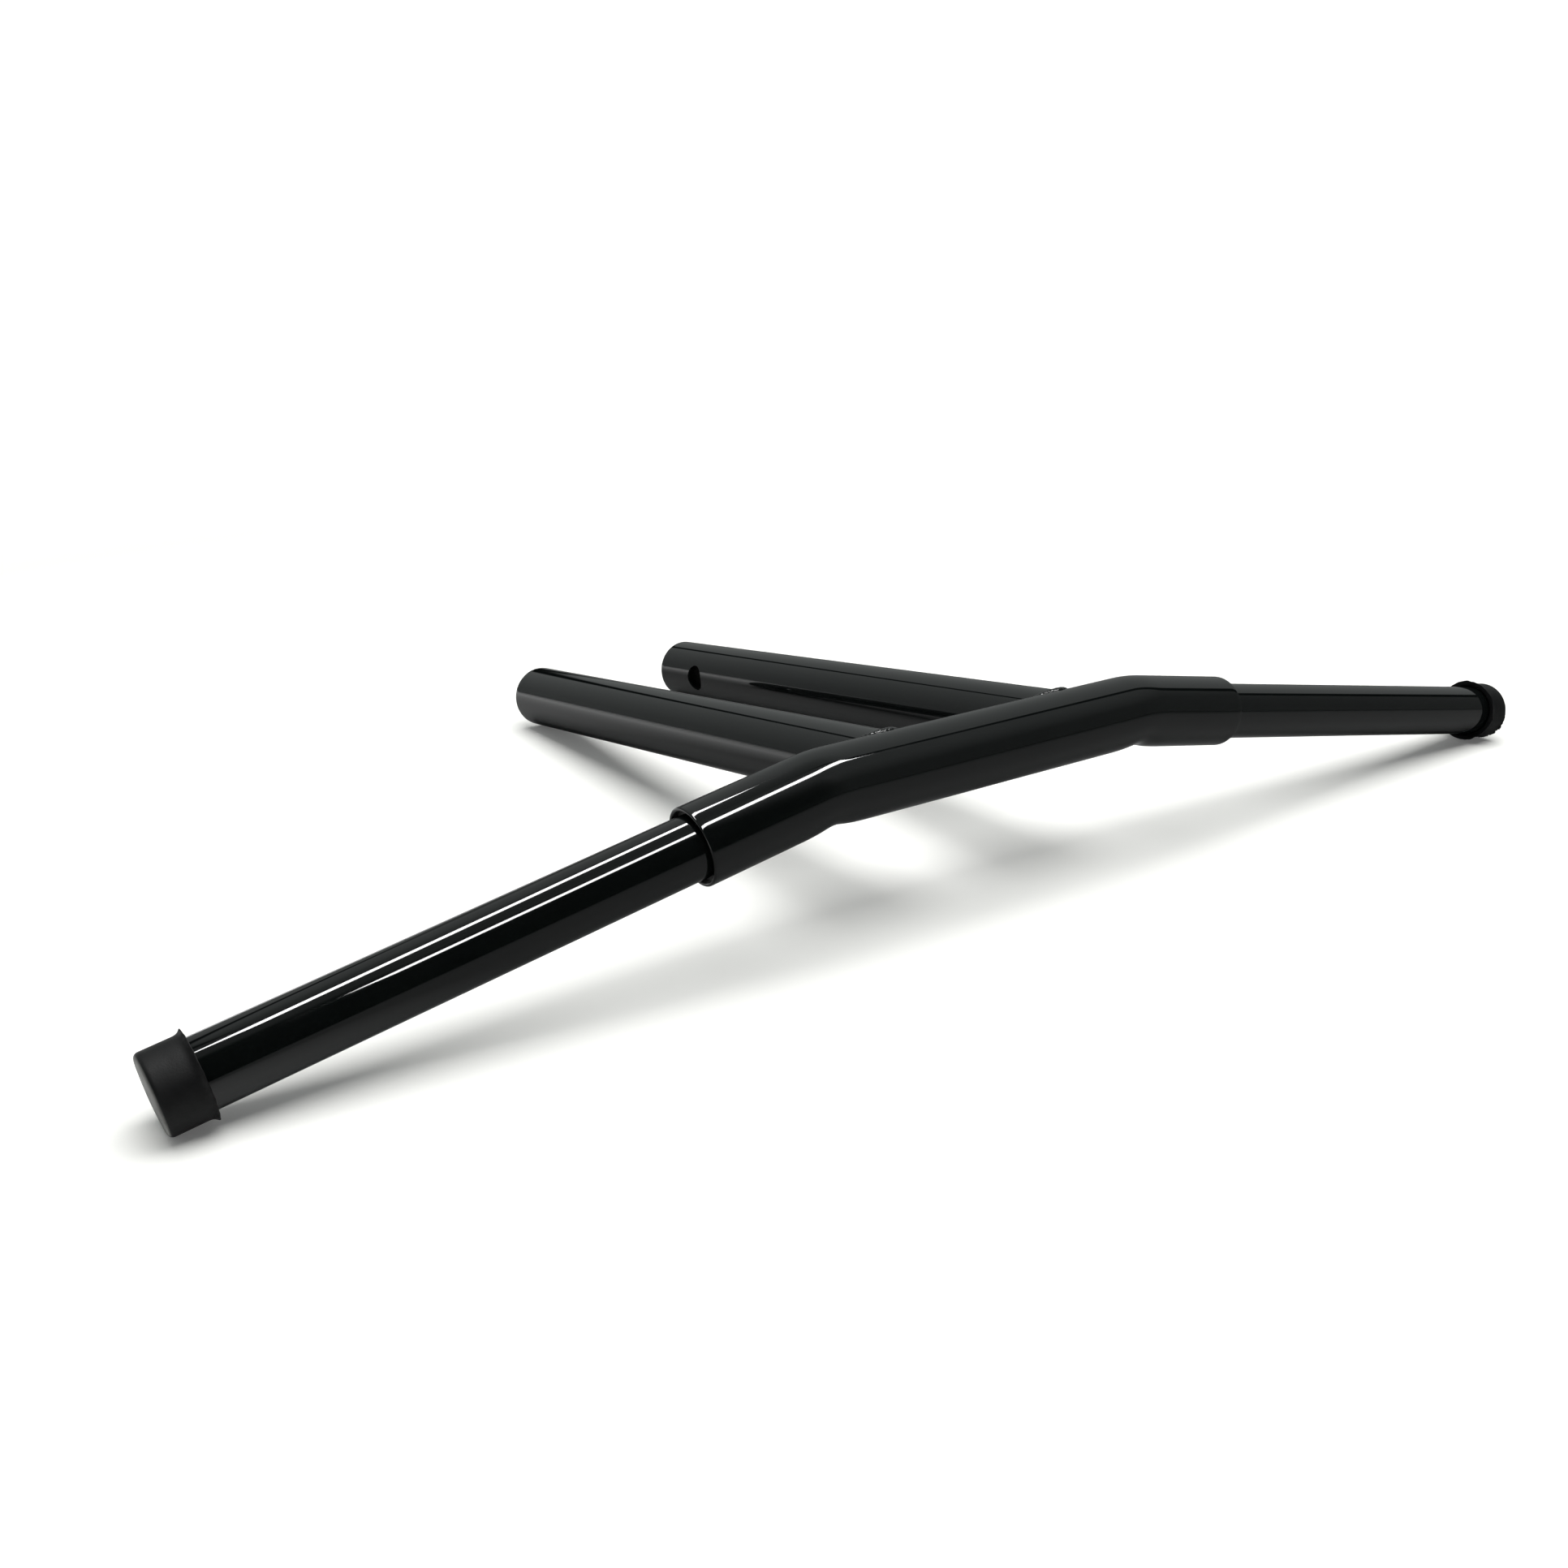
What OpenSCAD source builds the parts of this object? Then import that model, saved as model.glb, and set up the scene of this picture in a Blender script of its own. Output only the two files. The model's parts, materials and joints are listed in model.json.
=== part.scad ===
// Arched tubular foot: a bent cross tube with two telescoping legs that end in rubber
// caps, and two parallel socket tubes welded to its middle.
//
// The parts are drawn in an assembly frame: the arch's centreline runs along X, bends in
// the XZ plane and has its middle at the origin, and the sockets point towards +Y.
// on_floor() then lays the assembly down on its caps and its socket ends.

/* [Tubes] */
// Outside diameter of the arch tube and the socket tubes
tube_d = 31.75; // [30:0.25:34]
// Wall of the arch tube and the socket tubes
tube_wall = 1.5; // [1.2:0.1:1.6]
// Outside diameter of the leg tubes
leg_d = 25.4; // [24:0.1:25.6]
// Wall of the leg tubes
leg_wall = 1.2; // [1:0.1:2]

/* [Arch] */
// Straight length in the middle of the arch
arch_straight = 156.5; // [150:0.5:200]
// Angle of each bend
bend_angle = 10.75; // [6:0.25:18]
// Centreline radius of each bend
bend_r = 60; // [50:0.5:100]
// Straight length from each bend to its mouth
mouth_len = 53; // [53:0.5:80]

/* [Sockets] */
// Distance between the two sockets' centrelines
socket_spacing = 93.5; // [70:0.5:120]
// Length of a socket from the arch's centreline to its open end
socket_len = 321; // [250:1:400]
// Angle that the sockets drop away from square to the arch's plane
socket_rake = 13; // [8:1:16]
// How far the sockets' centrelines pass below the arch's
socket_drop = 0.8; // [0:0.1:3]
// Diameter of the push-button hole in each socket's inner side
button_hole_d = 14; // [8:0.5:16]
// Distance from that hole's centre to the socket's open end
button_hole_inset = 37.5; // [20:0.5:60]
// Throat of the weld round the foot of each socket
weld_leg = 2; // [1.5:0.5:4]

/* [Legs] */
// Length of each leg tube
leg_len = 248; // [240:1:248]
// How far the left leg tube stands out of its mouth
left_leg_out = 198.5; // [197:0.5:228.5]
// How far the right leg tube stands out of its mouth
right_leg_out = 225; // [197:0.5:228.5]

/* [Bushes] */
// Length of a bush's sleeve
bush_len = 8; // [6:0.5:10]
// Depth of the mouth bush behind the mouth
bush_recess = 3; // [2:0.5:4]
// Width of the slit in each bush
bush_slit = 2; // [1:0.5:3]

/* [Caps] */
// Length of a cap
cap_len = 16; // [14:0.5:25]
// Wall of a cap
cap_wall = 1.9; // [1.5:0.1:2.5]
// Floor of a cap, beyond the leg tube's end
cap_floor = 3; // [2:0.5:4]
// How far the thin lip at a cap's mouth stands out from its wall
cap_lip = 1.3; // [0.5:0.1:1.5]

/* [Hidden] */
$fn = 96;
LEFT = -1;
RIGHT = 1;
steel_colour = [0.03, 0.03, 0.035];
rubber_colour = [0.06, 0.06, 0.06];
nylon_colour = [0.1, 0.1, 0.1];

tube_r = tube_d / 2;
bore_r = tube_r - tube_wall;
leg_r = leg_d / 2;
slide_gap = 0.05;       // radial clearance of a running fit
cap_r = leg_r + cap_wall;
cap_edge_r = 2;         // rounding round the closed end of a cap
cap_lip_t = 0.9;        // thickness of the lip
cap_relief = 0.7;       // widening of a cap's bore at its mouth
tail_lip_t = 1.5;       // part of the tail bush that covers the leg tube's end
tail_bore_r = leg_r - leg_wall - 1;
bend_thin = 0.05;       // how much the wall thins on each face through a bend
bend_lap = 0.5;         // how far the straight runs reach into a bend, which makes them one solid
saddle_relief = 0.3;    // widening of a socket's bore at its foot, where the saddle cut is cleaned up
saddle_room = 2;        // how far that widening runs past the arch tube
saddle_trim = 8;        // where the saddle's thin tongue under the arch tube is cut off
weld_start = 3;         // where the weld starts, on the same centreline
weld_floor = 12.5;      // how far below a socket's centreline its weld reaches
cut = 1;                // how far a cutting tool runs past what it cuts

// The mouth's centre and the way that the leg leaves it, for a side of LEFT or RIGHT
function mouth(side) =
    let (x = arch_straight / 2 + bend_r * sin(bend_angle) + mouth_len * cos(bend_angle),
         z = -bend_r * (1 - cos(bend_angle)) - mouth_len * sin(bend_angle))
    [side * x, 0, z];
function leg_way(side) = [side * cos(bend_angle), 0, -sin(bend_angle)];
function leg_out(side) = side == LEFT ? left_leg_out : right_leg_out;
socket_way = [0, cos(socket_rake), -sin(socket_rake)];
function socket_root(side) = [side * socket_spacing / 2, 0, -socket_drop];
function socket_end(side) = socket_root(side) + socket_len * socket_way;
function cap_end(side) = mouth(side) + (leg_out(side) + cap_floor) * leg_way(side);

// How the assembly lies on the floor. up is the floor's normal in the assembly frame. The
// lowest points of the two caps and of the lower socket end define the floor, and they move
// a little as up changes, so the plane through them is found again until it settles.
function unit(v) = v / norm(v);
function rim_low(centre, way, r, up) = centre - r * unit(up - (up * way) * way);
function cap_edge(side) = cap_end(side) - cap_edge_r * leg_way(side);
function cap_foot(side, up) =
    rim_low(cap_edge(side), leg_way(side), cap_r - cap_edge_r, up) - cap_edge_r * up;
function socket_foot(up) =
    let (feet = [for (side = [LEFT, RIGHT]) rim_low(socket_end(side), socket_way, tube_r, up)])
    feet[0] * up < feet[1] * up ? feet[0] : feet[1];
function floor_normal(up) =
    unit(cross(cap_foot(RIGHT, up) - cap_foot(LEFT, up), socket_foot(up) - cap_foot(LEFT, up)));
function settle(up, passes) = passes == 0 ? up : settle(floor_normal(up), passes - 1);
up = settle([0, 0, 1], 12);
floor_x = unit([1, 0, 0] - up[0] * up);
floor_y = cross(up, floor_x);

// The box's middle in X and Y and the floor's height, along the floor's own axes
function rim_reach(way, r, axis) = r * sqrt(1 - pow(way * axis, 2));
function cap_reach(side) =
    cap_edge(side) * floor_x
    + side * (rim_reach(leg_way(side), cap_r - cap_edge_r, floor_x) + cap_edge_r);
x_low = cap_reach(LEFT);
x_high = cap_reach(RIGHT);
y_low = -tube_r;        // the middle of the arch reaches furthest forward
y_high = max([for (side = [LEFT, RIGHT]) socket_end(side) * floor_y])
    + rim_reach(socket_way, tube_r, floor_y);
floor_origin = [(x_low + x_high) / 2, (y_low + y_high) / 2, cap_foot(LEFT, up) * up];
floor_matrix = [
    [for (i = [0:2]) floor_x[i], -floor_origin[0]],
    [for (i = [0:2]) floor_y[i], -floor_origin[1]],
    [for (i = [0:2]) up[i], -floor_origin[2]]
];
floor_place = [for (row = [0:2]) [for (i = [0:3]) floor_matrix[row][i]], [0, 0, 0, 1]];

module on_floor() multmatrix(floor_place) children();

// A shape drawn along +Z from its origin, put at a mouth and turned along the leg
module at_mouth(side) translate(mouth(side)) rotate([0, side * (90 + bend_angle), 0]) children();

// A shape drawn along +Z from its origin, put on a socket's centreline from the arch's
module at_socket(side) translate(socket_root(side)) rotate([-90 - socket_rake, 0, 0]) children();

module ring(r_out, r_in, h) difference() {
    cylinder(r = r_out, h = h);
    translate([0, 0, -cut]) cylinder(r = r_in, h = h + 2 * cut);
}

// One straight end of the arch tube, from the mouth back to the bend, with its rim rounded over
module mouth_run() rotate_extrude() {
    translate([bore_r, -mouth_len - bend_lap]) square([tube_wall, mouth_len + bend_lap - tube_wall / 2]);
    translate([bore_r + tube_wall / 2, -tube_wall / 2]) circle(d = tube_wall, $fn = 32);
}

module bend(side) translate([side * arch_straight / 2, 0, -bend_r]) mirror([side == LEFT ? 1 : 0, 0, 0])
    rotate([90, 0, 0]) rotate([0, 0, 90 - bend_angle]) rotate_extrude(angle = bend_angle) translate([bend_r, 0])
    difference() {
        circle(r = tube_r - bend_thin);
        circle(r = bore_r + bend_thin);
    }

module arch_tube() color(steel_colour) on_floor() union() {
    translate([-arch_straight / 2 - bend_lap, 0, 0]) rotate([0, 90, 0])
        ring(tube_r, bore_r, arch_straight + 2 * bend_lap);
    for (side = [LEFT, RIGHT]) {
        bend(side);
        at_mouth(side) mouth_run();
    }
}

// The saddle at the tube's foot fits the arch tube, and the bore is cleaned out just above it.
// The button hole goes through the wall that faces the other socket.
module socket_tube(side) color(steel_colour) on_floor() difference() {
    at_socket(side) ring(tube_r, bore_r, socket_len);
    rotate([0, 90, 0]) cylinder(r = tube_r, h = 2 * socket_spacing, center = true);
    at_socket(side) cylinder(r = bore_r + saddle_relief, h = tube_r + saddle_room);
    at_socket(side) translate([0, 0, -cut]) below(weld_floor, saddle_trim + cut);
    at_socket(side) translate([0, 0, socket_len - button_hole_inset]) rotate([0, -side * 90, 0])
        cylinder(d = button_hole_d, h = tube_r + cut);
}

// Everything more than depth below a socket's centreline, for a length h of it
module below(depth, h) translate([-tube_d, depth, 0]) cube([2 * tube_d, tube_d, h]);

// The weld fills the corner between the two tubes, round the saddle's top and sides
module weld_bead(side) color(steel_colour) on_floor() difference() {
    intersection() {
        at_socket(side) translate([0, 0, weld_start]) cylinder(r = tube_r + weld_leg, h = tube_d);
        rotate([0, 90, 0]) cylinder(r = tube_r + weld_leg, h = 2 * socket_spacing, center = true);
    }
    rotate([0, 90, 0]) cylinder(r = tube_r, h = 2 * socket_spacing + cut, center = true);
    at_socket(side) cylinder(r = tube_r, h = 2 * tube_d + cut);
    at_socket(side) below(weld_floor, 2 * tube_d);
}

module slit(r, h) translate([0, -bush_slit / 2, -cut]) cube([r + cut, bush_slit, h + 2 * cut]);

// Split sleeve that fills the mouth round the leg tube
module mouth_bush(side) color(nylon_colour) on_floor() at_mouth(side)
    translate([0, 0, -bush_recess - bush_len]) difference() {
        ring(bore_r, leg_r + slide_gap, bush_len);
        slit(bore_r, bush_len);
    }

module leg_tube(side) color(steel_colour) on_floor() at_mouth(side)
    translate([0, 0, leg_out(side) - leg_len]) ring(leg_r, leg_r - leg_wall, leg_len);

// Split cup on the leg tube's inner end. It runs in the arch tube and stops at the mouth bush.
module tail_bush(side) color(nylon_colour) on_floor() at_mouth(side)
    translate([0, 0, leg_out(side) - leg_len]) difference() {
        union() {
            ring(bore_r - slide_gap, leg_r, bush_len);
            translate([0, 0, -tail_lip_t]) ring(bore_r - slide_gap, tail_bore_r, tail_lip_t);
        }
        translate([0, 0, -tail_lip_t]) slit(bore_r, bush_len + tail_lip_t);
    }

// Push-on cap: its section is turned about the leg's axis, and z is 0 at the leg tube's end
module end_cap(side) color(rubber_colour) on_floor() at_mouth(side) translate([0, 0, leg_out(side)])
    rotate_extrude() difference() {
        union() {
            translate([0, cap_floor - cap_len]) square([cap_r, cap_len - cap_edge_r]);
            square([cap_r - cap_edge_r, cap_floor]);
            translate([cap_r - cap_edge_r, cap_floor - cap_edge_r]) circle(r = cap_edge_r, $fn = 48);
            translate([0, cap_floor - cap_len]) square([cap_r + cap_lip, cap_lip_t]);
        }
        translate([-cut, -cap_len - cut]) square([leg_r + cut, cap_len + cut]);
        translate([0, cap_floor - cap_len - cut]) square([leg_r + cap_relief, cap_lip_t * 2 + cut]);
    }

arch_tube();
socket_tube(LEFT);  // left_socket_tube
socket_tube(RIGHT);  // right_socket_tube
weld_bead(LEFT);  // left_weld_bead
weld_bead(RIGHT);  // right_weld_bead
mouth_bush(LEFT);  // left_mouth_bush
mouth_bush(RIGHT);  // right_mouth_bush
leg_tube(LEFT);  // left_leg_tube
leg_tube(RIGHT);  // right_leg_tube
tail_bush(LEFT);  // left_tail_bush
tail_bush(RIGHT);  // right_tail_bush
end_cap(LEFT);  // left_end_cap
end_cap(RIGHT);  // right_end_cap
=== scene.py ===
"""Looks for the arched tubular foot: glossy black tubes, weld beads, bushes and rubber caps."""

import json
import math
import random

import bmesh
import bpy
import numpy as np
from mathutils import Matrix, Quaternion, Vector, noise

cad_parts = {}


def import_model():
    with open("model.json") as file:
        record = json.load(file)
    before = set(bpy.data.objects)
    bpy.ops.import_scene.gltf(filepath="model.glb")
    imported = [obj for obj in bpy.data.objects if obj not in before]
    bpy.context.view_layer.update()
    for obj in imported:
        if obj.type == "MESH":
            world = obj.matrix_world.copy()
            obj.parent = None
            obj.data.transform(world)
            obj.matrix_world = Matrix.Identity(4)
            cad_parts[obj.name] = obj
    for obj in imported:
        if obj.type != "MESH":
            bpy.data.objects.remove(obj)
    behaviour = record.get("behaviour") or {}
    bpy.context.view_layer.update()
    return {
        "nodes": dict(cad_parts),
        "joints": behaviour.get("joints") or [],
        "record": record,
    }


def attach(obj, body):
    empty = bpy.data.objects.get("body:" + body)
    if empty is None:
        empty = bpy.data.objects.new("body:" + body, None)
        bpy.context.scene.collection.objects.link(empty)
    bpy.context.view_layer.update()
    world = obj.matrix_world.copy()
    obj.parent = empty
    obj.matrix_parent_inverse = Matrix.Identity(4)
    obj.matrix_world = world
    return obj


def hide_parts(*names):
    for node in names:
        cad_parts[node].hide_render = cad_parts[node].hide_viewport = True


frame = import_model()
rng = random.Random(11)

MM = 0.001
LEFT, RIGHT = "left", "right"
SIDES = (LEFT, RIGHT)
BEND_R = 60 * MM  # centreline radius of the arch tube's bends, as in the CAD
TUBE_WALL = 1.5 * MM  # of the arch and the sockets
LEG_WALL = 1.2 * MM
TUBE_TURNS, LEG_TURNS, CAP_TURNS, DRILL_TURNS = 128, 96, 160, 64  # how many points a skin has round it
SHARP = math.radians(35)  # an edge that turns by more than this isn't smoothed


# ---------------------------------------------------------------- where things are

def points(node):
    """A CAD node's vertices, as an array of rows."""
    mesh = frame["nodes"][node].data
    flat = np.empty(3 * len(mesh.vertices))
    mesh.vertices.foreach_get("co", flat)
    return flat.reshape(-1, 3)


def span(rows, axis):
    """How far the rows reach along an axis, from low to high."""
    along = rows @ np.array(axis)
    return float(along.min()), float(along.max())


class Line:
    """A straight line: a point on it at distance 0, and its way."""

    def __init__(self, start, way):
        self.start, self.way = start, way

    def at(self, distance):
        return self.start + self.way * distance


class Round(Line):
    """A round node's centreline, with its length and its radius."""

    def __init__(self, node, way):
        rows = points(node)
        side = way.orthogonal().normalized()
        other = way.cross(side)
        low, high = span(rows, way)
        super().__init__(way * low, way)
        self.length = high - low
        for axis in (side, other):
            near, far = span(rows, axis)
            self.start += axis * (near + far) / 2
            self.radius = (far - near) / 2


joints = {j["name"]: j for j in frame["joints"]}
mounts = {m["name"]: m for m in frame["record"]["mounts"]}
leg_way = {side: Vector(joints[side + "_leg_slide"]["axis"]).normalized() for side in SIDES}
socket_way = {side: Vector(mounts[side + "_socket_bore"]["axis"]).normalized() for side in SIDES}

# The arch's own axes: across runs from the left mouth to the right one, up is square to it in
# the plane of the bends, and its middle is the middle of the centreline's straight run.
across = (leg_way[RIGHT] - leg_way[LEFT]).normalized()
up = -(leg_way[RIGHT] + leg_way[LEFT]).normalized()
back = up.cross(across)
arch_rows = points("arch_tube")
arch_low_y, arch_high_y = span(arch_rows, back)
tube_r = (arch_high_y - arch_low_y) / 2
middle = (
    across * sum(span(arch_rows, across)) / 2
    + back * (arch_low_y + arch_high_y) / 2
    + up * (span(arch_rows, up)[1] - tube_r)
)
bore_r = tube_r - TUBE_WALL

legs = {side: Round(side + "_leg_tube", leg_way[side]) for side in SIDES}
caps = {side: Round(side + "_end_cap", leg_way[side]) for side in SIDES}
leg_r = legs[LEFT].radius


def mouth_of(side):
    """The middle of a mouth: where the leg's centreline leaves the arch tube."""
    edge = span(arch_rows, leg_way[side])[1]
    return legs[side].start + leg_way[side] * (edge - legs[side].start.dot(leg_way[side]))


mouths = {side: mouth_of(side) for side in SIDES}
bend_angle = math.acos(across.dot(leg_way[RIGHT]))
tangent = BEND_R * math.tan(bend_angle / 2)
corner_gap = (mouths[RIGHT] - middle).dot(up) / leg_way[RIGHT].dot(up)
mouth_run = corner_gap - tangent
corner_across = (mouths[RIGHT] - leg_way[RIGHT] * corner_gap - middle).dot(across)
middle_run = 2 * (corner_across - tangent)
bend_run = BEND_R * bend_angle
arch_run = 2 * mouth_run + 2 * bend_run + middle_run


def on_arch(distance):
    """The arch's centreline at a distance from its middle: the point, its way and its own up."""
    sign = 1 if distance >= 0 else -1
    left_over = abs(distance) - middle_run / 2
    if left_over <= 0:
        return middle + across * distance, across, up
    turned = min(left_over, bend_run) / BEND_R
    way = across * sign * math.cos(turned) - up * math.sin(turned)
    own_up = up * math.cos(turned) + across * sign * math.sin(turned)
    point = (
        middle
        + across * sign * (middle_run / 2 + BEND_R * math.sin(turned))
        - up * BEND_R * (1 - math.cos(turned))
    )
    if left_over > bend_run:
        point += way * (left_over - bend_run)
    return point, way * sign, own_up


# ---------------------------------------------------------------- mesh builders

JOIN_GAP = 0.001 * MM  # vertices nearer than this become one
RIM_STEPS = 11  # how many rings round a rim over


def new_object(name, verts, faces):
    """A smooth-shaded mesh with its doubled vertices joined and its faces turned outwards."""
    mesh = bpy.data.meshes.new(name)
    mesh.from_pydata([tuple(v) for v in verts], [], faces)
    obj = bpy.data.objects.new(name, mesh)
    bpy.context.scene.collection.objects.link(obj)
    bm = bmesh.new()
    bm.from_mesh(mesh)
    bmesh.ops.remove_doubles(bm, verts=bm.verts, dist=JOIN_GAP)
    bmesh.ops.recalc_face_normals(bm, faces=bm.faces)
    bm.to_mesh(mesh)
    bm.free()
    for polygon in mesh.polygons:
        polygon.use_smooth = True
    return obj


def skin(name, on_path, stations, closed, turns, shape=None):
    """A surface swept round a path. stations are (distance, radius), and shape may move a point:
    shape(distance, angle, radius) gives a new distance and radius. Angle 0 is the path's own up."""
    verts, faces = [], []
    for distance, radius in stations:
        for k in range(turns):
            angle = math.tau * k / turns
            s, r = shape(distance, angle, radius) if shape else (distance, radius)
            point, way, own_up = on_path(s)
            out = own_up * math.cos(angle) + own_up.cross(way) * math.sin(angle)
            verts.append(point + out * r)
    rings = len(stations)
    for i in range(rings if closed else rings - 1):
        j = (i + 1) % rings
        for k in range(turns):
            m = (k + 1) % turns
            faces.append((i * turns + k, i * turns + m, j * turns + m, j * turns + k))
    return new_object(name, verts, faces)


def straight(line):
    """on_path for a straight centreline."""
    own_up = (Vector((0, 0, 1)) - line.way * line.way.z).normalized()
    return lambda distance: (line.at(distance), line.way, own_up)


def steps(first, last, pitch):
    """Even steps from first to last, about a pitch apart."""
    count = max(1, round(abs(last - first) / pitch))
    return [first + (last - first) * i / count for i in range(count + 1)]


def rim(edge):
    """Half a turn over a rounded rim: steps along the tube and across its wall."""
    turn = [math.pi * i / (RIM_STEPS + 1) for i in range(1, RIM_STEPS + 1)]
    return [(edge * math.sin(a), edge * math.cos(a)) for a in turn]


def tube_stations(first, last, inner, outer, pitch, round_first=True):
    """A tube's closed section, its last rim rounded over, and its first one too if asked."""
    edge, mid = (outer - inner) / 2, (outer + inner) / 2
    start = first + edge if round_first else first
    stations = [(s, outer) for s in steps(start, last - edge, pitch)]
    stations += [(last - edge + along, mid + across_wall) for along, across_wall in rim(edge)]
    stations += [(s, inner) for s in steps(last - edge, start, pitch)]
    if round_first:
        stations += [(start - along, mid - across_wall) for along, across_wall in rim(edge)]
    return stations


# ---------------------------------------------------------------- materials

def material(name):
    """A new material, with its node tree and its shader."""
    made = bpy.data.materials.new(name)
    made.use_nodes = True
    tree = made.node_tree
    return made, tree, tree.nodes["Principled BSDF"]


def add(tree, kind, **sockets):
    """A new node. Each keyword is a socket's name, with _ for its spaces."""
    node = tree.nodes.new(kind)
    for key, value in sockets.items():
        node.inputs[key.replace("_", " ")].default_value = value
    return node


def ramp(tree, source, low, high, low_value, high_value):
    """Maps a grey value from low..high to low_value..high_value."""
    node = add(
        tree, "ShaderNodeMapRange",
        From_Min=low, From_Max=high, To_Min=low_value, To_Max=high_value,
    )
    tree.links.new(source, node.inputs["Value"])
    return node.outputs["Result"]


def grain(tree, scale, detail=3.0):
    """Noise that is fixed to the piece."""
    coords = tree.nodes.new("ShaderNodeTexCoord")
    node = add(tree, "ShaderNodeTexNoise", Scale=scale, Detail=detail)
    tree.links.new(coords.outputs["Object"], node.inputs["Vector"])
    return node.outputs["Fac"]


def bump(tree, shader, heights, distance, strength):
    """Roughens the shader's normal by the noise. distance is the height of its bumps."""
    node = add(tree, "ShaderNodeBump", Strength=strength, Distance=distance)
    tree.links.new(heights, node.inputs["Height"])
    tree.links.new(node.outputs["Normal"], shader.inputs["Normal"])


def math_node(tree, operation, first, second=0.0):
    """A Math node whose inputs are numbers or other nodes' outputs."""
    node = tree.nodes.new("ShaderNodeMath")
    node.operation = operation
    for socket, value in zip(node.inputs, (first, second)):
        if isinstance(value, (int, float)):
            socket.default_value = value
        else:
            tree.links.new(value, socket)
    return node.outputs[0]


def colour_mix(tree, shader, factor, first, second):
    """Colours the shader from first to second as factor goes from 0 to 1."""
    node = tree.nodes.new("ShaderNodeMix")
    node.data_type = "RGBA"
    node.inputs[6].default_value = (*first, 1)
    node.inputs[7].default_value = (*second, 1)
    tree.links.new(factor, node.inputs[0])
    tree.links.new(node.outputs[2], shader.inputs["Base Color"])


def roughen(tree, shader, heights, smooth, rough):
    """Lets the roughness wander between two values with the noise."""
    tree.links.new(ramp(tree, heights, 0.3, 0.7, smooth, rough), shader.inputs["Roughness"])


def along_way(tree, way):
    """How far a point of the piece lies along a way."""
    coords = tree.nodes.new("ShaderNodeTexCoord")
    node = tree.nodes.new("ShaderNodeVectorMath")
    node.operation = "DOT_PRODUCT"
    node.inputs[1].default_value = way
    tree.links.new(coords.outputs["Object"], node.inputs[0])
    return node.outputs["Value"]


def paint_material():
    """Glossy black powder coat: nearly black, with a faint orange peel and cloudy roughness."""
    made, tree, shader = material("black_powder_coat")
    colour_mix(tree, shader, grain(tree, 40), (0.0018, 0.0024, 0.0024), (0.0032, 0.004, 0.0039))
    roughen(tree, shader, grain(tree, 90, 4), 0.035, 0.07)
    bump(tree, shader, grain(tree, 160, 1), 0.03 * MM, 0.15)
    return made


# How far from the cap's end its painted sheen and scuffing start, and how far from it they are full
SHEEN_AND_SCUFF_START, SHEEN_AND_SCUFF_FULL = 0.9 * MM, 0.2 * MM


def rubber_material(side):
    """Matte moulded rubber with a fine sandy grain, faint patches and a paler end: painted sheen standing
    in for light grazing the end, with some scuffing.
    """
    made, tree, shader = material("black_rubber_" + side)
    end = caps[side].at(caps[side].length).dot(leg_way[side])
    # The pale end is painted sheen, colour standing in for light grazing the end face, and partly
    # scuffing.
    near_end = ramp(tree, along_way(tree, leg_way[side]), end - SHEEN_AND_SCUFF_START, end - SHEEN_AND_SCUFF_FULL, 0, 1)
    sheen_and_scuff = math_node(tree, "MULTIPLY", near_end, ramp(tree, grain(tree, 120, 5), 0.3, 0.65, 0.45, 1))
    patches = ramp(tree, grain(tree, 55, 5), 0.35, 0.7, 0, 0.02)
    paler = math_node(tree, "MAXIMUM", patches, sheen_and_scuff)
    colour_mix(tree, shader, paler, (0.002, 0.0022, 0.0025), (0.2, 0.2, 0.193))
    roughen(tree, shader, grain(tree, 160, 4), 0.46, 0.62)
    shader.inputs["Specular IOR Level"].default_value = 0.18
    shader.inputs["Sheen Weight"].default_value = 0.04
    shader.inputs["Sheen Roughness"].default_value = 0.3
    bump(tree, shader, grain(tree, 1500, 3), 0.12 * MM, 0.5)
    return made


def nylon_material():
    """Black nylon with a satin face."""
    made, tree, shader = material("black_nylon")
    colour_mix(tree, shader, grain(tree, 120), (0.010, 0.010, 0.010), (0.018, 0.018, 0.018))
    roughen(tree, shader, grain(tree, 300), 0.38, 0.5)
    bump(tree, shader, grain(tree, 900), 0.05 * MM, 0.4)
    return made


paint, nylon = paint_material(), nylon_material()


def dress(obj, mat, slot_name, body, *nodes):
    """Gives a piece its material, the body it rides on and the CAD nodes it stands for."""
    obj.data.materials.clear()
    obj.data.materials.append(mat)
    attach(obj, body)
    if nodes:
        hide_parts(*nodes)


def dress_node(node, mat):
    """Gives a CAD node that stays a better material."""
    obj = frame["nodes"][node]
    obj.data.materials.clear()
    obj.data.materials.append(mat)


# ---------------------------------------------------------------- the arch and the legs

DENT_DEPTH = 1.3 * MM
DENT_HALF = 8 * MM  # how far along the tube a dent fades, each way
ARCH_PITCH, LEG_PITCH, SOCKET_PITCH = 2 * MM, 10 * MM, 2.5 * MM  # between a skin's rings
dent_at = middle_run / 2 + bend_run / 2


def arch_shape(distance, angle, radius):
    """Each bend is pressed in a little on its inner side, as a bent tube is."""
    if radius < (bore_r + tube_r) / 2:
        return distance, radius
    inner_side = max(0.0, -math.cos(angle)) ** 1.5
    reach = (abs(distance) - dent_at) / DENT_HALF
    return distance, radius - DENT_DEPTH * math.exp(-reach * reach) * inner_side


arch_stations = tube_stations(-arch_run / 2, arch_run / 2, bore_r, tube_r, ARCH_PITCH)
arch = skin("arch_tube_skin", on_arch, arch_stations, True, TUBE_TURNS, arch_shape)
dress(arch, paint, "black_powder_coat", "frame", "arch_tube")

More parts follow.
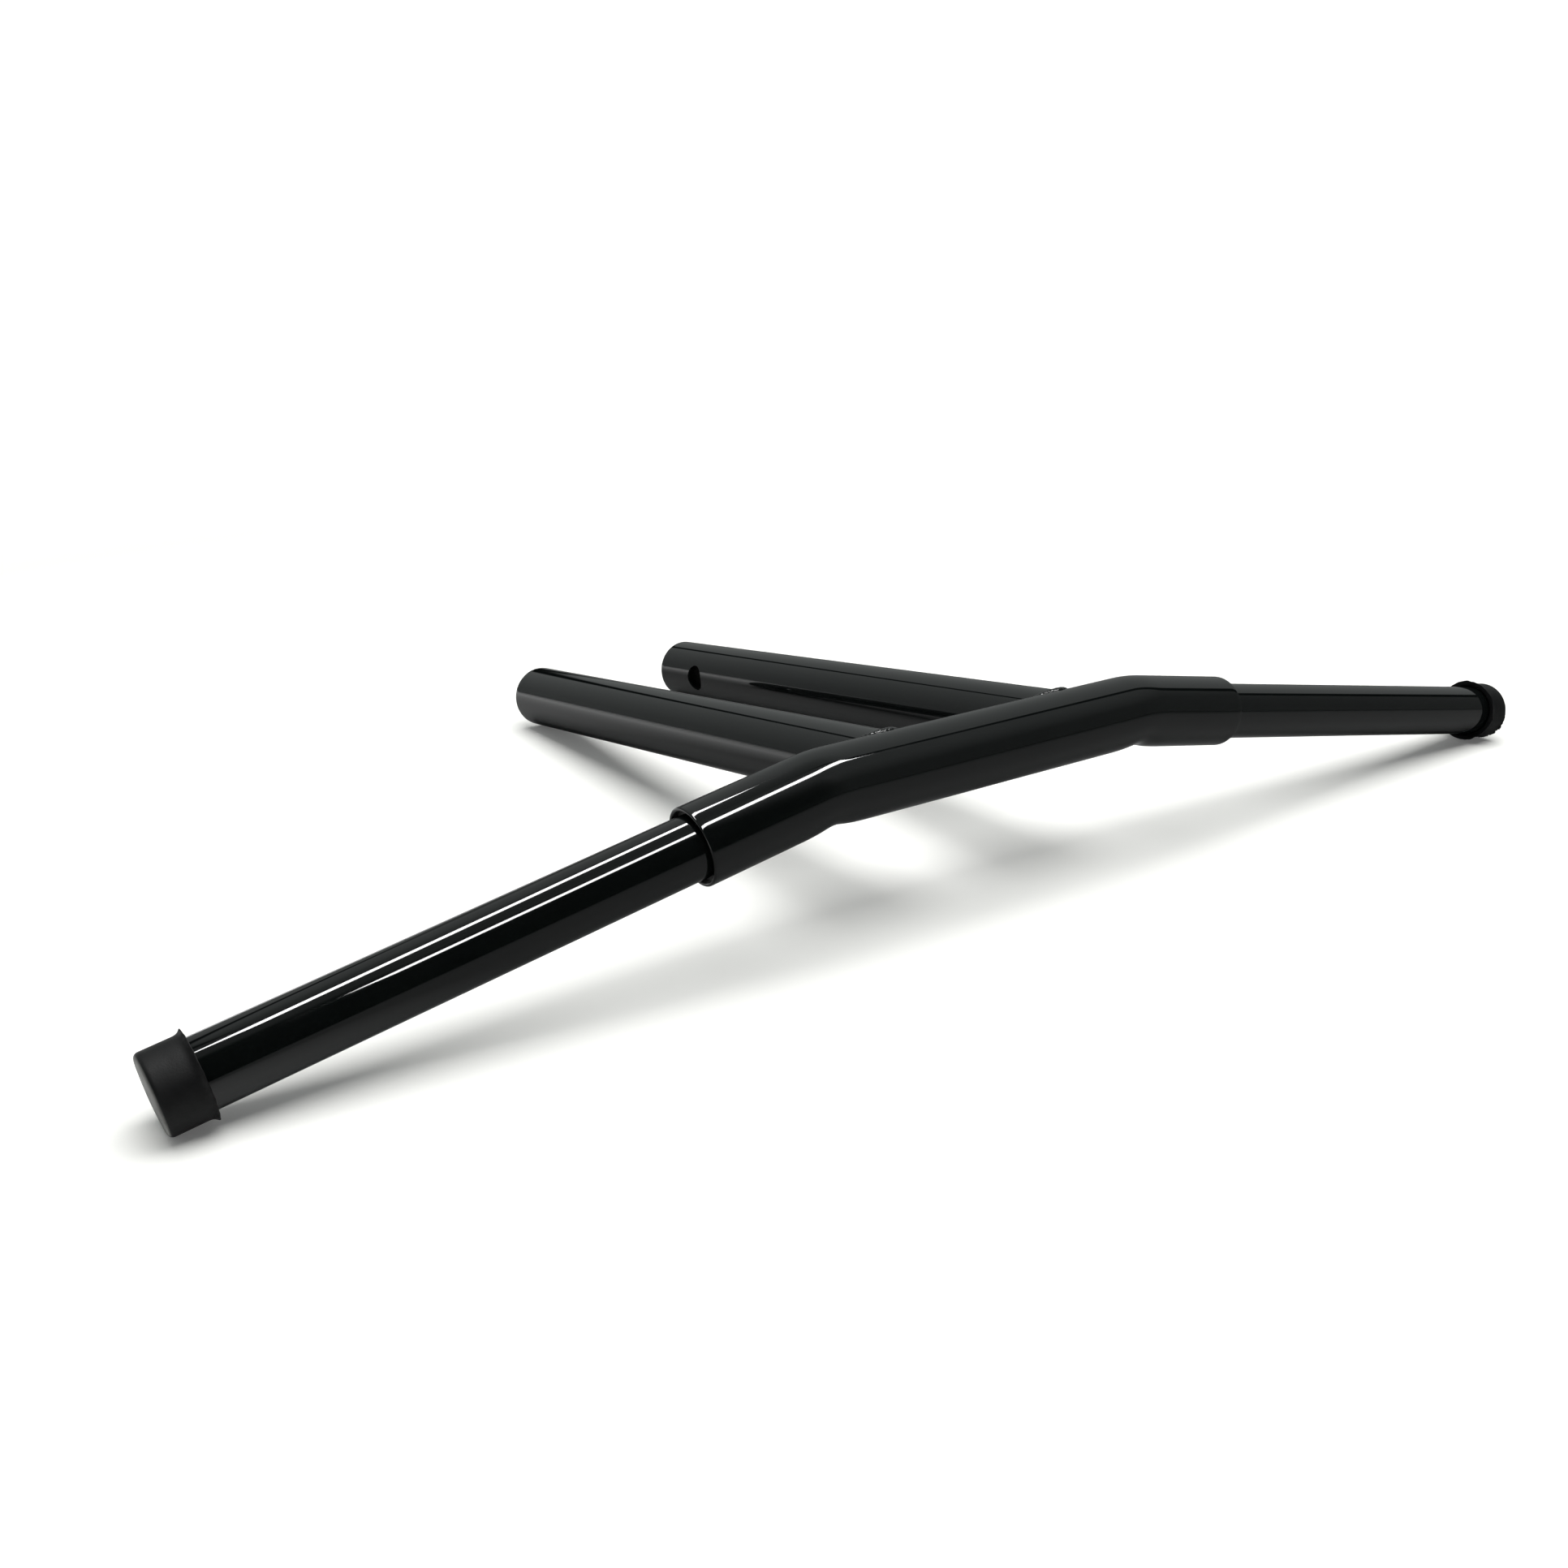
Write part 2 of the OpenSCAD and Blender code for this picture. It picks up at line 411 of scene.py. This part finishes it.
for side in SIDES:
    leg = legs[side]
    leg_stations = tube_stations(0, leg.length, leg_r - LEG_WALL, leg_r, LEG_PITCH)
    tube = skin(side + "_leg_skin", straight(leg), leg_stations, True, LEG_TURNS)
    dress(tube, paint, "black_powder_coat", side + "_leg", side + "_leg_tube")
    dress_node(side + "_mouth_bush", nylon)
    dress_node(side + "_tail_bush", nylon)


# ---------------------------------------------------------------- the sockets and their welds

SADDLE_ROOM = 8 * MM  # how far past the arch tube a socket's rings bend round it
SADDLE_SINK = 0.1 * MM  # how far a socket's foot reaches into the arch's skin
DRILL_HALF = 6 * MM  # how far the button hole's drill reaches each way from the hole's middle
WELD_REACH = math.radians(142)  # how far down each side, from its top, a weld runs
WELD_SIZE = 1.75 * MM  # the bead's radius, before it is flattened
WELD_LIFT = 0.1 * MM  # how far its middle stands out of the corner
WELD_RINGS, WELD_TURNS = 300, 16
RIPPLE_PITCH = 1.7 * MM  # between the bead's ripples


def meet_arch(point, way):
    """Where a line going back along way meets the arch tube, or the point nearest to it."""
    start = point - middle
    flat, run = start - across * start.dot(across), -way
    half_b = flat.dot(run)
    gap = half_b * half_b - (flat.dot(flat) - tube_r * tube_r)
    return point + run * (-half_b - math.sqrt(max(0.0, gap)))


def socket_line(side):
    """A socket's centreline, with distance 0 beside the arch's centreline."""
    way = socket_way[side]
    line = Round(side + "_socket_tube", way)
    foot = (line.start - middle).dot(way)
    line.start -= way * foot
    line.length += foot
    line.radius = tube_r
    return line


def socket_skin(side):
    """A socket tube: its foot saddles the arch, and its inner wall has the push-button's hole."""
    line = socket_line(side)
    on_line = straight(line)
    join = tube_r + SADDLE_ROOM

    def shape(distance, angle, radius):
        if distance >= join:
            return distance, radius
        point, way, own_up = on_line(join)
        out = own_up * math.cos(angle) + own_up.cross(way) * math.sin(angle)
        foot = (meet_arch(point + out * radius, way) - line.start).dot(way) - SADDLE_SINK
        return foot + (join - foot) * distance / join, radius

    stations = tube_stations(0, line.length, bore_r, tube_r, SOCKET_PITCH, round_first=False)
    tube = skin(side + "_socket_skin", on_line, stations, True, TUBE_TURNS, shape)
    hole = mounts[side + "_button_hole"]
    way = Vector(hole["axis"]).normalized()
    drill = Line(Vector(hole["pos_m"]) - way * DRILL_HALF, way)
    radius = hole["dims"]["r_mm"] * MM
    drill_stations = [(0, 0), (0, radius), (2 * DRILL_HALF, radius), (2 * DRILL_HALF, 0)]
    cutter = skin("drill", straight(drill), drill_stations, False, DRILL_TURNS)
    cut = tube.modifiers.new("hole", "BOOLEAN")
    cut.object, cut.operation, cut.solver = cutter, "DIFFERENCE", "EXACT"
    cut_tube = tube.evaluated_get(bpy.context.evaluated_depsgraph_get())
    drilled = bpy.data.meshes.new_from_object(cut_tube)
    tube.modifiers.clear()
    tube.data = drilled
    bpy.data.objects.remove(cutter)
    drilled.set_sharp_from_angle(angle=SHARP)
    dress(tube, paint, "black_powder_coat", "frame", side + "_socket_tube")


def weld_bead(side):
    """A rippled bead laid over the saddle's top and down its sides, thinner where it stops."""
    way = socket_way[side]
    line = socket_line(side)
    anchor = line.at(tube_r)
    own_up = (up - way * up.dot(way)).normalized()
    own_side = own_up.cross(way)
    middles, outs, sizes = [], [], []
    for i in range(WELD_RINGS + 1):
        reach = 2 * i / WELD_RINGS - 1
        a = WELD_REACH * reach
        out = own_up * math.cos(a) + own_side * math.sin(a)
        hit = meet_arch(anchor + out * tube_r, way)
        radial = hit - middle
        arch_out = (radial - across * radial.dot(across)).normalized()
        lean = (out + arch_out).normalized()
        middles.append(hit + lean * WELD_LIFT)
        outs.append(lean)
        sizes.append(WELD_SIZE * max(0.12, 1 - abs(reach) ** 14) ** 0.5)
    verts, faces, run = [], [], 0.0
    seed = Vector((rng.random() * 50, rng.random() * 50, 3))
    for i in range(WELD_RINGS + 1):
        before, after = middles[max(i - 1, 0)], middles[min(i + 1, WELD_RINGS)]
        tangent_way = (after - before).normalized()
        run += (middles[i] - before).length
        out = (outs[i] - tangent_way * outs[i].dot(tangent_way)).normalized()
        cross_way = tangent_way.cross(out)
        ripple = abs(2 * ((run / RIPPLE_PITCH) % 1.0) - 1)
        width = sizes[i] * (1.06 - 0.1 * ripple + 0.15 * noise.noise(seed + middles[i] * 90))
        for k in range(WELD_TURNS):
            b = math.tau * k / WELD_TURNS
            r = width * (1 + 0.05 * noise.noise(seed + middles[i] * 600 + Vector((k, 0, 0))))
            proud, aside = out * math.cos(b) * 0.7, cross_way * math.sin(b) * 1.2
            verts.append(middles[i] + (proud + aside) * r)
    for i in range(WELD_RINGS):
        for k in range(WELD_TURNS):
            m = (k + 1) % WELD_TURNS
            ring, after_it = i * WELD_TURNS, (i + 1) * WELD_TURNS
            faces.append((ring + k, ring + m, after_it + m, after_it + k))
    last_ring = WELD_RINGS * WELD_TURNS
    faces += [tuple(range(WELD_TURNS)), tuple(range(last_ring, last_ring + WELD_TURNS))]
    bead = new_object(side + "_weld_skin", verts, faces)
    dress(bead, paint, "black_powder_coat", "frame", side + "_weld_bead")


LEAF_FIRST, LEAF_LAST = 3 * MM, 33.5 * MM  # how far inside the open end the leaf begins and ends
LEAF_HALF = math.radians(34)  # half of the angle that it covers round the bore
LEAF_SLANT = 3.2 * MM  # how much shorter its upper edge is than its middle
LEAF_LIFT = 4.5 * MM  # how far its inner end stands off the wall
LEAF_THICK = 0.8 * MM
LEAF_GAP = 0.05 * MM  # between its outer end and the wall


def button_leaf(side):
    """A dark spring leaf behind the button hole. It lifts off the wall as it goes in."""
    line = socket_line(side)
    way = line.way
    towards = Vector(mounts[side + "_button_hole"]["axis"]).normalized()
    towards = (towards - way * towards.dot(way)).normalized()
    beside = way.cross(towards)
    if beside.z < 0:
        beside = -beside
    rows, columns = 24, 12
    verts, faces = [], []
    for layer in (0, 1):
        for i in range(rows + 1):
            t = i / rows
            for k in range(columns + 1):
                v = 2 * k / columns - 1
                inset = LEAF_FIRST + (LEAF_LAST - LEAF_FIRST - LEAF_SLANT * v) * t
                lift = LEAF_LIFT * t * t * (3 - 2 * t)
                r = bore_r - LEAF_GAP - layer * LEAF_THICK
                outwards = towards * (r * math.cos(LEAF_HALF * v) - lift)
                sideways = beside * (r * math.sin(LEAF_HALF * v))
                verts.append(line.at(line.length - inset) + outwards + sideways)
    wide, deep = columns + 1, (rows + 1) * (columns + 1)
    for i in range(rows):
        for k in range(columns):
            a = i * wide + k
            quad = (a, a + 1, a + wide + 1, a + wide)
            faces += [quad, tuple(deep + n for n in reversed(quad))]
    border = list(range(wide))
    border += [i * wide + columns for i in range(1, rows + 1)]
    border += [rows * wide + k for k in range(columns - 1, -1, -1)]
    border += [i * wide for i in range(rows - 1, 0, -1)]
    for n, first in enumerate(border):
        second = border[(n + 1) % len(border)]
        faces.append((second, first, first + deep, second + deep))
    leaf = new_object(side + "_button_leaf", verts, faces)
    leaf.data.set_sharp_from_angle(angle=SHARP)
    dress(leaf, nylon, "black_nylon", "frame")


for side in SIDES:
    socket_skin(side)
    weld_bead(side)
    button_leaf(side)


# ---------------------------------------------------------------- the rubber caps

CAP_WALL = 1.9 * MM
CAP_FLOOR = 3 * MM  # how thick its end is
CAP_EDGE = 2 * MM  # the radius that its closed rim is rounded to
CAP_CROWN = 0.5 * MM  # how far its end bulges
CAP_PITCH = 1 * MM  # between its rings
CAP_CLEAR = 0.02 * MM  # between it and the leg
# The lip at the mouth, in mm in from the mouth. Its outer side, with how proud it is of the wall,
# and its inner side, with how far it is off the leg:
LIP_OUTER = [
    (2.6, 0.05), (1.9, 0.2), (1.3, 0.5), (0.8, 0.95), (0.35, 1.35), (0.1, 1.45), (0, 1.3), (0.1, 0.9),
    (0.3, 0.2),
]
LIP_INNER = [(0.5, 0.9), (1.2, 0.5), (2.4, 0.02)]
LIP_DEPTH = 2.2 * MM  # how far in from the mouth the lip is torn
LIP_PROUD = 1.45 * MM  # how proud of the wall it is at most
FLASH_SIZE = 1.1 * MM  # the moulding flash left on a cap's closed rim
FLASH_REACH = 0.5 * MM  # how far in from the wall the flash begins
FLASH_MIDDLE = math.radians(128)  # how far round from the cap's top it is thickest


def cap_stations(length, wall):
    """A cap's section, from the middle of its end, over the wall and lip, to the middle of its cup."""
    flat = wall - CAP_EDGE
    inside = length - CAP_FLOOR
    bore = leg_r + CAP_CLEAR
    stations = [(length + CAP_CROWN * (1 - (r / flat) ** 2), r) for r in steps(0, flat, 1.1 * CAP_PITCH)]
    for turned in (math.radians(10 * i) for i in range(1, 10)):
        stations.append((length - CAP_EDGE * (1 - math.cos(turned)), flat + CAP_EDGE * math.sin(turned)))
    stations += [(s, wall) for s in steps(length - CAP_EDGE - 0.4 * MM, 3.4 * MM, CAP_PITCH)]
    stations += [(inset * MM, wall + proud * MM) for inset, proud in LIP_OUTER]
    stations += [(inset * MM, leg_r + gap * MM) for inset, gap in LIP_INNER]
    stations += [(s, bore) for s in steps(3 * MM, inside, 1.5 * CAP_PITCH)]
    return stations + [(inside, r) for r in steps(leg_r * 0.98, 0, 2 * CAP_PITCH)]


def rubber_cap(side):
    """A moulded cap: crowned end, rounded edge, torn flash on both rims and a lip that flares."""
    cap = caps[side]
    wall = leg_r + CAP_WALL
    seed = Vector((7.0 if side == LEFT else 19.0, 2.0, 5.0))

    def shape(distance, angle, radius):
        around = Vector((math.cos(angle), math.sin(angle), 0))
        if distance < LIP_DEPTH and radius > wall:
            torn = noise.noise(seed + around * 2.2) + 0.6 * noise.noise(seed + around * 7)
            far = (radius - wall) / LIP_PROUD
            return distance + 0.5 * MM * torn * far, radius + (0.55 * torn - 0.15) * MM * far
        if distance > cap.length - CAP_EDGE and radius > wall - FLASH_REACH:
            bumps = noise.noise(seed + around * 14) + 0.5 * noise.noise(seed + around * 40)
            turned = (angle + FLASH_MIDDLE + math.pi) % math.tau - math.pi
            where_torn = max(0.0, math.cos(min(2 * abs(turned), math.pi))) ** 0.5
            return distance, radius + FLASH_SIZE * max(0.0, 0.35 + bumps) * where_torn
        return distance, radius

    stations = cap_stations(cap.length, wall)
    cap_skin = skin(side + "_cap_skin", straight(cap), stations, False, CAP_TURNS, shape)
    dress(cap_skin, rubber_material(side), "black_rubber", side + "_leg", side + "_end_cap")


for side in SIDES:
    rubber_cap(side)


# ---------------------------------------------------------------- floor, light and camera

FLOOR_HALF, FLOOR_DROP = 30, 0.2 * MM
FLOOR_SLANT = (-0.9, 0.45, 0)  # the way in which the floor's reflection brightens
LAMP_HEIGHT, LAMP_WIDTH = 1.5, 0.16


def floor_material():
    """White, with a glow that grows further off. Glossy rays see it dimmer, least so at the left."""
    made, tree, shader = material("floor_white")
    tree.nodes.remove(shader)
    white = add(tree, "ShaderNodeBsdfDiffuse", Color=(0.9, 0.9, 0.87, 1))
    coords = tree.nodes.new("ShaderNodeTexCoord")
    away = tree.nodes.new("ShaderNodeVectorMath")
    away.operation = "LENGTH"
    tree.links.new(coords.outputs["Object"], away.inputs[0])
    glow = tree.nodes.new("ShaderNodeEmission")
    tree.links.new(ramp(tree, away.outputs["Value"], 0.8, 2.0, 0.1, 1.1), glow.inputs["Strength"])
    seen = tree.nodes.new("ShaderNodeAddShader")
    tree.links.new(white.outputs[0], seen.inputs[0])
    tree.links.new(glow.outputs[0], seen.inputs[1])
    reflected = tree.nodes.new("ShaderNodeBsdfDiffuse")
    grey = ramp(tree, along_way(tree, FLOOR_SLANT), 0.12, 0.34, 0.19, 0.95)
    tree.links.new(grey, reflected.inputs["Color"])
    path = tree.nodes.new("ShaderNodeLightPath")
    pick = tree.nodes.new("ShaderNodeMixShader")
    tree.links.new(path.outputs["Is Glossy Ray"], pick.inputs[0])
    tree.links.new(seen.outputs[0], pick.inputs[1])
    tree.links.new(reflected.outputs[0], pick.inputs[2])
    tree.links.new(pick.outputs[0], tree.nodes["Material Output"].inputs["Surface"])
    return made


def floor():
    """A wide white floor, just under the object."""
    mesh = bpy.data.meshes.new("floor")
    corners = [(x * FLOOR_HALF, y * FLOOR_HALF, 0) for x, y in ((-1, -1), (1, -1), (1, 1), (-1, 1))]
    mesh.from_pydata(corners, [], [(0, 1, 2, 3)])
    mesh.materials.append(floor_material())
    obj = bpy.data.objects.new("floor", mesh)
    obj.location.z = -FLOOR_DROP
    bpy.context.scene.collection.objects.link(obj)


def panel(name, first, last, width, power, glossy):
    """A rectangular lamp from first to last, at the lamps' height, that faces the object. It shows
    either in the gloss of the paint or in the light on the floor, not in both."""
    first, last = Vector((*first, LAMP_HEIGHT)), Vector((*last, LAMP_HEIGHT))
    data = bpy.data.lights.new(name, "AREA")
    data.shape, data.size, data.size_y, data.energy = "RECTANGLE", (last - first).length, width, power
    obj = bpy.data.objects.new(name, data)
    bpy.context.scene.collection.objects.link(obj)
    centre = (first + last) / 2
    x = (last - first).normalized()
    y = centre.cross(x).normalized()
    z = x.cross(y)
    obj.matrix_world = Matrix.Translation(centre) @ Matrix((x, y, z)).transposed().to_4x4()
    obj.visible_glossy, obj.visible_diffuse = glossy, not glossy


def world():
    """A plain room: a pale wall behind, a dimmer one in front, dark seams and a dim top. The
    camera sees plain white instead."""
    made = bpy.data.worlds.new("studio")
    made.use_nodes = True
    bpy.context.scene.world = made
    tree = made.node_tree
    tree.nodes.clear()
    out = tree.nodes.new("ShaderNodeOutputWorld")
    coords = tree.nodes.new("ShaderNodeTexCoord")
    split = tree.nodes.new("ShaderNodeSeparateXYZ")
    tree.links.new(coords.outputs["Generated"], split.inputs[0])
    x, y, z = split.outputs

    def calc(operation, first, second=0.0):
        return math_node(tree, operation, first, second)

    def background(level, tint=(1, 1, 1, 1)):
        node = tree.nodes.new("ShaderNodeBackground")
        node.inputs["Color"].default_value = tint
        if isinstance(level, float):
            node.inputs["Strength"].default_value = level
        else:
            tree.links.new(level, node.inputs["Strength"])
        return node.outputs[0]

    # The sine and cosine of the way round from the right: around is 0 there, 1 straight back and
    # -1 in front, and beside is 1 at the right.
    flat = calc("SQRT", calc("ADD", calc("MULTIPLY", x, x), calc("MULTIPLY", y, y)))
    safe_flat = calc("MAXIMUM", flat, 0.001)
    around, beside = calc("DIVIDE", y, safe_flat), calc("DIVIDE", x, safe_flat)
    # The back wall brightens upwards and dims near the top, and the front one has a dark middle.
    back_wall = calc("MULTIPLY", ramp(tree, z, 0.1, 0.72, 0.27, 0.46), ramp(tree, z, 0.8, 0.97, 1, 0.5))
    off_middle = ramp(tree, around, -0.92, -0.84, 0.0, 1.0)
    front_wall = calc("MULTIPLY", ramp(tree, z, 0.42, 0.72, 0.12, 0.34), off_middle)
    is_back = ramp(tree, around, -0.02, 0.02, 0, 1)
    is_front = calc("SUBTRACT", 1.0, is_back)
    walls = calc("ADD", calc("MULTIPLY", back_wall, is_back), calc("MULTIPLY", front_wall, is_front))
    # Dark seams: one straight up each side, and one that leans across the back and front walls.
    side_seam = ramp(tree, calc("ABSOLUTE", around), 0.055, 0.085, 0.0, 1)
    off_lean = calc("SUBTRACT", calc("ADD", beside, calc("MULTIPLY", z, 0.73)), 0.433)
    leaning_seam = ramp(tree, calc("ABSOLUTE", off_lean), 0.022, 0.04, 0.0, 1)
    seams = calc("MULTIPLY", side_seam, leaning_seam)
    overhead = ramp(tree, z, 0.93, 0.98, 0, 1)
    below_it = calc("MULTIPLY", calc("MULTIPLY", walls, seams), calc("SUBTRACT", 1.0, overhead))
    level = calc("ADD", below_it, calc("MULTIPLY", overhead, 0.22))
    path = tree.nodes.new("ShaderNodeLightPath")
    pick = tree.nodes.new("ShaderNodeMixShader")
    tree.links.new(path.outputs["Is Camera Ray"], pick.inputs[0])
    tree.links.new(background(level, (0.95, 1, 0.985, 1)), pick.inputs[1])
    tree.links.new(background(1.1), pick.inputs[2])
    tree.links.new(pick.outputs[0], out.inputs["Surface"])


floor()
world()
panel("overhead", (-0.7, -0.15), (0.9, -0.15), 1.6, 36, glossy=False)
panel("lamp_front", (-0.27, -0.93), (0.84, -0.2), LAMP_WIDTH, 20, glossy=True)
panel("lamp_back", (-0.48, -0.04), (0.27, 0.57), LAMP_WIDTH, 15, glossy=True)

# The camera: it looks along azimuth and elevation at the aim, from a distance.
AZIMUTH, ELEVATION = math.radians(34.62), math.radians(20.07)
ROLL = math.radians(-0.074)
DISTANCE = 0.814
SENSOR_MM, LENS_MM = 36, 36.94
AIM = Vector((-0.0043, 0.0067, -0.0008))
looking = Vector((
    math.sin(AZIMUTH) * math.cos(ELEVATION), math.cos(AZIMUTH) * math.cos(ELEVATION), -math.sin(ELEVATION),
))
camera_data = bpy.data.cameras.new("camera")
camera_data.sensor_width = SENSOR_MM
camera_data.lens = LENS_MM
camera = bpy.data.objects.new("camera", camera_data)
bpy.context.scene.collection.objects.link(camera)
camera.location = AIM - looking * DISTANCE
camera.rotation_euler = (looking.to_track_quat("-Z", "Y") @ Quaternion((0, 0, 1), ROLL)).to_euler()
bpy.context.scene.camera = camera
bpy.context.scene.view_settings.view_transform = "Standard"
